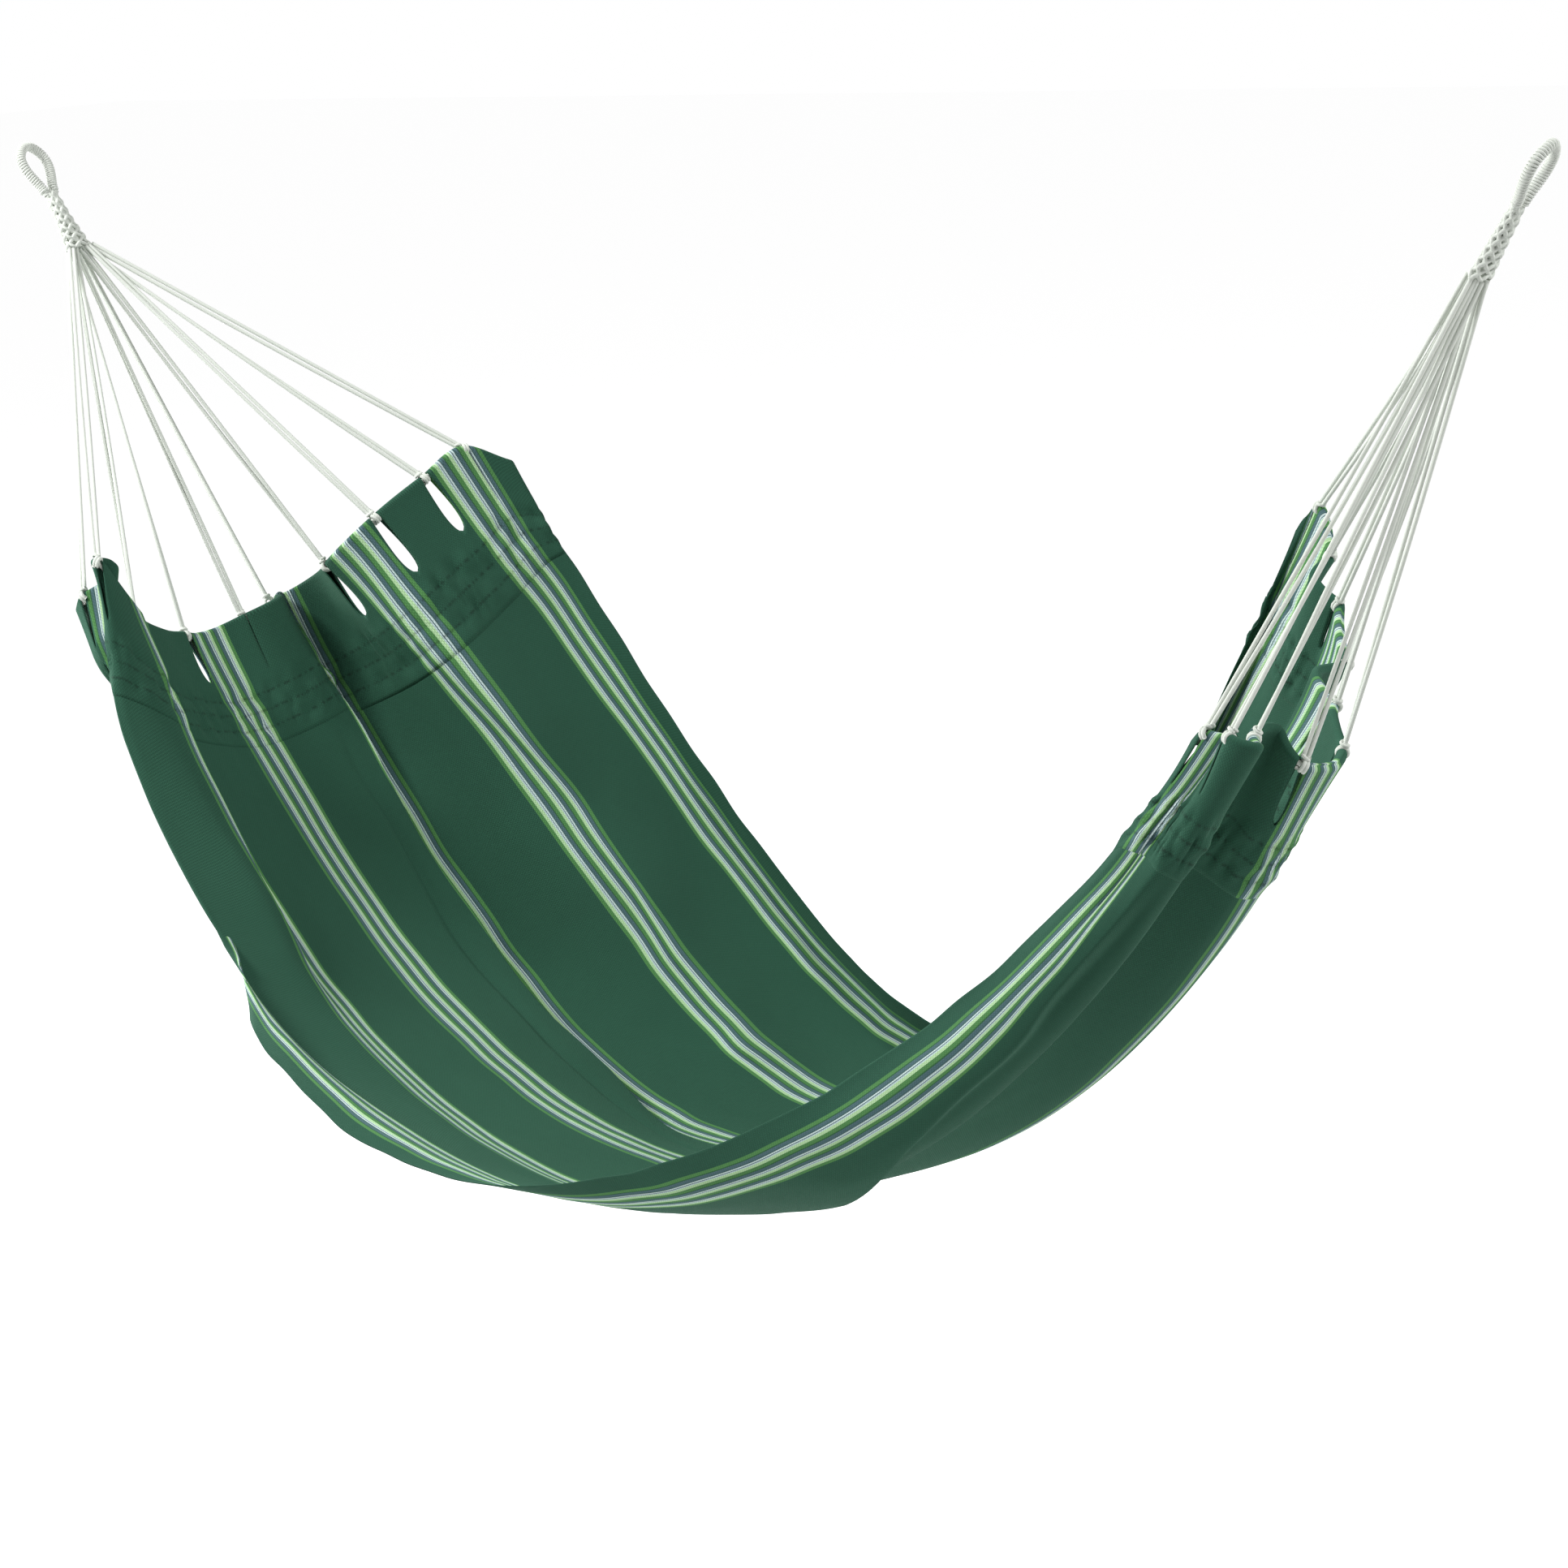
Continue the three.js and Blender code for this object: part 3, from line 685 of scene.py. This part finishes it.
def hem(side):
    """The end facing: an inner leg, a fold round the end rope and an outer leg, in tabs between slots."""
    depth, off, turn = hem_stations()
    tabs = [hem_tab(side, k, depth, off, turn) for k in range(LINES + 1)]
    faces = []
    start = 0
    for points, _, _ in tabs:
        quads = grid_faces(len(depth), points.shape[1], start)
        faces.append(quads if side == "left" else quads[:, ::-1])
        start += points.shape[0] * points.shape[1]
    points, normals, uv = (np.concatenate([v.reshape(-1, v.shape[-1]) for v in part]) for part in zip(*tabs))
    # Tabs share their points below the slots.
    _, first, inverse = np.unique(np.round(points, 3), axis=0, return_index=True, return_inverse=True)
    faces = inverse.ravel()[np.concatenate(faces)]
    both, faces, uvs = shell(points[first], normals[first], CLOTH, uv[first], faces)
    piece = make_mesh(f"{side}_hem_cloth", both, faces, CLOTH_LOOK, uvs)
    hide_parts(f"{side}_end_hem")
    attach(piece, "bed")
    return piece


# ---------------------------------------------------------------- ropes and cords
NECK_LOW = -38
NECK_HIGH = 44
NECK_STRANDS = 6
NECK_TURNS = 1.1
LINE_GAP = 9.5
KNOT_RADIUS = 5.6
KNOT_HALF = 3.6
KNOT_CORD = 2.3
COLLAR_BACK = 9.0
COLLAR_RADIUS = 4.0
COLLAR_CORD = 2.0


def end_rope(side):
    edge = 0.0 if side == "left" else 1.0
    u = np.linspace(NEAR_EDGE, FAR_EDGE, 500)
    path, _ = cloth_at(u, np.full_like(u, edge))
    piece = tubes_mesh(f"{side}_end_cord", [twisted_tube(resample(path, 2.0), 3.0, lay=22)], CORD_LOOK)
    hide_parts(f"{side}_end_rope")
    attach(piece, "bed")
    return piece


def neck_frame(side):
    left = side == "left"
    out = unit(np.array([-NECK_IN if left else NECK_IN, 0, NECK_DROP]))
    across = np.array([0.0, 1.0, 0.0])
    return (LEFT_NECK if left else RIGHT_NECK), out, across, np.cross(out, across)


def in_neck(side, reach, wide, deep):
    centre, out, across, square = neck_frame(side)
    aside = np.multiply.outer(wide, across) + np.multiply.outer(deep, square)
    return centre + np.multiply.outer(reach, out) + aside


def box_middle(node):
    low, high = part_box(node)
    return (np.array(low) + np.array(high)) / 2 / MM


def cord_starts(side):
    """Where the ten lines leave the neck's end, taken from the CAD lines' upper ends."""
    centre, out, across, square = neck_frame(side)
    starts = []
    for k in range(1, LINES + 1):
        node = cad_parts[f"{side}_line_{k:02d}"]
        co = np.array([v.co for v in node.data.vertices]) / MM - centre
        reach = co @ out
        top = co[reach > reach.max() - 6]
        starts.append((top @ across).mean() * across + (top @ square).mean() * square)
    return [centre + NECK_LOW * out + s for s in starts]


def rope_direction(side, place):
    """The way that the end rope runs at a tie."""
    edge = 0.0 if side == "left" else 1.0
    before, _ = cloth_at(place - 0.08, edge)
    after, _ = cloth_at(place + 0.08, edge)
    return unit(after - before)


def strand_path(start, end, run, rope, aside, sign, rng):
    """One strand of a line, beside its twin, and the phase of its lay. It turns into the rope's way."""
    t = np.linspace(0, 1, 16)
    gap = STRAND * 0.52 + 1.4 * np.sin(np.pi * t) * rng.uniform(0.2, 1.0)
    phase = 4 * rng.uniform(-0.6, 0.6)
    at_rope = unit(rope - run * rope.dot(run))
    blend = t[:, None] ** 2
    direction = unit(aside * (1 - blend) + at_rope * blend * np.sign(aside.dot(at_rope) or 1))
    sag = np.array([0.0, 0.0, -1.0]) * (3.0 * np.sin(np.pi * t))[:, None] * rng.uniform(0.3, 1.2)
    path = start + (end - start) * t[:, None] + sign * gap[:, None] * direction + sag
    return resample(path, 3.0), phase


def suspension(side):
    rng = np.random.default_rng(11 if side == "left" else 12)
    starts = cord_starts(side)
    for k in range(1, LINES + 1):
        tie = box_middle(f"{side}_knot_{k:02d}")
        start = starts[k - 1]
        run = unit(tie - start)
        end = tie - run * LINE_GAP
        aside = unit(np.cross(run, rng.normal(size=3)))
        rope = rope_direction(side, TIE_PLACES[k - 1])
        for strand, sign in (("a", -1), ("b", 1)):
            path, phase = strand_path(start, end, run, rope, aside, sign, rng)
            tube = twisted_tube(path, STRAND / 2, lay=18, groove=0.06, phase=phase)
            piece = tubes_mesh(f"{side}_strand_{k:02d}_{strand}", [tube], CORD_LOOK)
            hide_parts(f"{side}_line_{k:02d}")
            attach(piece, "bed")
        knot(side, k, tie, rope, run)


def knot(side, k, tie, rope, run):
    """A lark's head: two turns round the end rope, joined over the outside, and a collar on the cords."""
    a = unit(-run - rope * (-run).dot(rope))
    b = np.cross(rope, a)
    turns = np.linspace(-0.9 * math.pi, 2.9 * math.pi, 60)
    drift = np.linspace(-KNOT_HALF, KNOT_HALF, 60)
    circle = KNOT_RADIUS * (np.cos(turns)[:, None] * a + np.sin(turns)[:, None] * b)
    coil = tie + drift[:, None] * rope + circle
    angle = np.linspace(0, 2.2 * math.pi, 30)
    circle = COLLAR_RADIUS * (np.cos(angle)[:, None] * rope + np.sin(angle)[:, None] * b)
    collar = tie - run * COLLAR_BACK + circle
    collar = collar - run * np.linspace(-1.5, 1.5, 30)[:, None]
    tubes = [
        twisted_tube(resample(coil, 1.5), KNOT_CORD, lay=12),
        twisted_tube(resample(collar, 1.5), COLLAR_CORD, lay=12),
    ]
    piece = tubes_mesh(f"{side}_hitch_{k:02d}", tubes, CORD_LOOK)
    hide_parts(f"{side}_knot_{k:02d}")
    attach(piece, "bed")


# The woven neck: the place along it, then its half-widths.
NECK_SHAPE = [(-38, 22, 9.5), (-15, 17, 9), (8, 12.5, 8.5), (28, 11, 8), (44, 8.5, 6.5)]


def neck(side):
    """The woven neck: strands wound both ways over an oval core."""
    reach = np.linspace(NECK_LOW, NECK_HIGH, 70)
    part = (reach - NECK_LOW) / (NECK_HIGH - NECK_LOW)
    shape = np.array(NECK_SHAPE, float)
    wide = catmull(shape[:, 0], shape[:, 1], reach)
    thick = catmull(shape[:, 0], shape[:, 2], reach)
    tubes = []
    for turn in (1, -1):
        for k in range(NECK_STRANDS):
            angle = 2 * math.pi * k / NECK_STRANDS + turn * part * 2 * math.pi * NECK_TURNS
            over = 1.0 + 0.09 * turn * np.sin(angle * NECK_STRANDS)
            across = (wide - 2.2) * over * np.cos(angle)
            path = in_neck(side, reach, across, (thick - 2.2) * over * np.sin(angle))
            tubes.append(twisted_tube(resample(path, 2.0), 2.4, lay=14))
    core_path = in_neck(side, reach, 0 * reach, 0 * reach)
    tubes.append(twisted_tube(core_path, 6.5, plies=2, lay=400, groove=0))
    piece = tubes_mesh(f"{side}_neck_weave", tubes, CORD_LOOK)
    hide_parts(f"{side}_neck")
    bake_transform(piece)
    return piece


# The eye: the place along it, then half its width.
EYE_HALF = [(40.5, 7.6), (52, 9.5), (66, 15.5), (80, 20), (94, 19.5), (106, 11.5)]


def wound_round(path, radius, pitch):
    """A coil of that pitch round a path, 4 mm short of its ends."""
    _, a, b = frames(path)
    reach = reach_along(path)
    places = np.linspace(4, reach[-1] - 4, int(reach[-1] * 5))
    turn = 2 * np.pi * places / pitch
    grids = (np.stack([np.interp(places, reach, v[:, c]) for c in range(3)], -1) for v in (path, a, b))
    core, a, b = grids
    return core + radius * (np.cos(turn)[:, None] * a + np.sin(turn)[:, None] * b)


def eye(side):
    """The whipped eye: a teardrop core wound with close turns of cord."""
    top = math.hypot(NECK_IN, NECK_DROP) + 6.5
    loop = EYE_HALF + [(top, 0)] + [(r, -y) for r, y in EYE_HALF[::-1]]
    loop = np.array(loop, float)
    core = resample(in_neck(side, loop[:, 0], loop[:, 1], 0 * loop[:, 1]), 1.0)
    piece = tubes_mesh(f"{side}_eye_strands", [twisted_tube(core, 4.2, lay=20)], CORD_LOOK)
    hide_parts(f"{side}_eye_core")
    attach(piece, "eyes")
    coil = wound_round(core, 4.9, 3.2)
    piece = tubes_mesh(f"{side}_eye_wrap", [twisted_tube(coil, 1.5, sides=8, groove=0.0)], WHIPPING_LOOK)
    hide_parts(f"{side}_eye_whipping")
    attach(piece, "eyes")


# ---------------------------------------------------------------- stage, light and camera
FLOOR_Z = -1900
FLOOR_HALF = 30000


def studio():
    n = Nodes("floor_look")
    seen = n.add("ShaderNodeLightPath").outputs["Is Camera Ray"]
    glow = n.math("MULTIPLY", seen, 0.7)
    n.finish(Base_Color=(0.8, 0.8, 0.8, 1), Roughness=0.9, Emission_Color=(1, 1, 1, 1), Emission_Strength=glow)
    corners = ((-1, -1), (1, -1), (1, 1), (-1, 1))
    points = [(x * FLOOR_HALF, y * FLOOR_HALF, FLOOR_Z) for x, y in corners]
    floor = make_mesh("floor", points, [[0, 1, 2, 3]], n.material, smooth=False)
    world = bpy.data.worlds.new("studio")
    world.use_nodes = True
    tree = world.node_tree
    tree.nodes["Background"].inputs["Color"].default_value = (1, 1, 1, 1)
    tree.nodes["Background"].inputs["Strength"].default_value = 0.35
    path = tree.nodes.new("ShaderNodeLightPath")
    white = tree.nodes.new("ShaderNodeBackground")
    white.inputs["Color"].default_value = (1, 1, 1, 1)
    mix = tree.nodes.new("ShaderNodeMixShader")
    tree.links.new(path.outputs["Is Camera Ray"], mix.inputs["Fac"])
    tree.links.new(tree.nodes["Background"].outputs[0], mix.inputs[1])
    tree.links.new(white.outputs[0], mix.inputs[2])
    tree.links.new(mix.outputs[0], tree.nodes["World Output"].inputs["Surface"])
    bpy.context.scene.world = world
    bpy.context.scene.view_settings.view_transform = "Standard"
    soft_light("key", (-1.4, -3.0, 2.6), (1.0, 0.0, -0.8), 1.2, 255)
    soft_light("fill", (4.6, 1.0, 2.2), (1.0, 0.0, -0.8), 2.0, 110)
    soft_light("side", (-2.8, -0.6, 0.4), (0.9, 0.0, -0.7), 1.4, 100)


def soft_light(name, place, target, size, watts):
    data = bpy.data.lights.new(name, "AREA")
    data.shape, data.size, data.energy = "DISK", size, watts
    lamp = bpy.data.objects.new(name, data)
    lamp.location = place
    lamp.rotation_euler = (Vector(target) - Vector(place)).to_track_quat("-Z", "Y").to_euler()
    bpy.context.scene.collection.objects.link(lamp)


def camera():
    """The photograph's view. Its place, direction and lens are the output of the same fit."""
    data = bpy.data.cameras.new("photo_view")
    data.sensor_width = 36
    data.lens = 92.77
    data.clip_end = 100
    view = bpy.data.objects.new("photo_view", data)
    back = Vector((0.5805, -0.784, 0.22)).normalized()
    right = Vector((0.8092, 0.5855, -0.0488))
    right = (right - back * right.dot(back)).normalized()
    rows = Matrix((right, back.cross(right), back)).transposed()
    view.matrix_world = Matrix.Translation((3.808, -3.608, 0.297)) @ rows.to_4x4()
    bpy.context.scene.collection.objects.link(view)
    bpy.context.scene.camera = view


studio()
camera()
bed_cloth()
for end in ("left", "right"):
    hem(end)
    end_rope(end)
    suspension(end)
    neck(end)
    eye(end)
